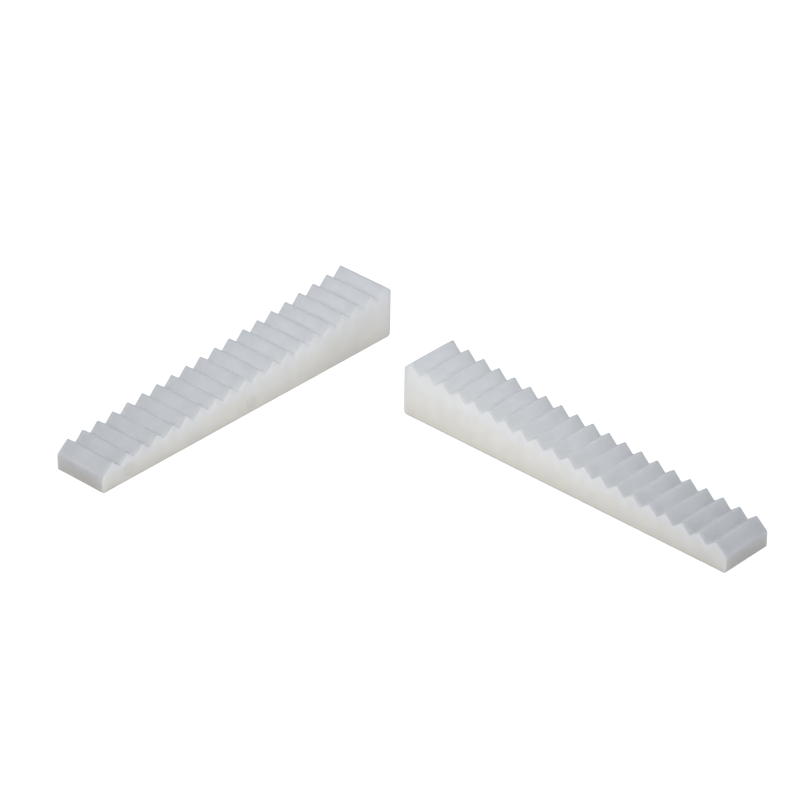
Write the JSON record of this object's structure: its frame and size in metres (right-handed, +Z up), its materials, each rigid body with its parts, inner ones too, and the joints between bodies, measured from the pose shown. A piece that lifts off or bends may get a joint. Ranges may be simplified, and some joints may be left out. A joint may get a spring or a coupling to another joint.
{
  "type": "serrated wedge pair",
  "caption": "Long plastic wedges with a flat base and a sloping toothed top. One is turned over onto the other, so the teeth mesh, to set or adjust a height.",
  "frame": {"origin": "on the surface that both wedges lie on, under the middle of the pair's bounding box", "axes": "+X along the left wedge and +Y along the right wedge, each from its thin end to its thick end; +Z up, the way the teeth point"},
  "size_m": [0.1, 0.1422, 0.0149],
  "materials": {
    "natural_plastic": "as-moulded natural plastic, milky white and slightly translucent, satin"
  },
  "bodies": {
    "left_wedge": {"left_wedge": "natural_plastic"},
    "right_wedge": {"right_wedge": "natural_plastic"}
  },
  "joints": [
    {"name": "right_wedge_drive", "type": "slide", "parent": "left_wedge", "child": "right_wedge", "axis": [0, -1, 0], "range_m": [0, 0.0945]}
  ]
}
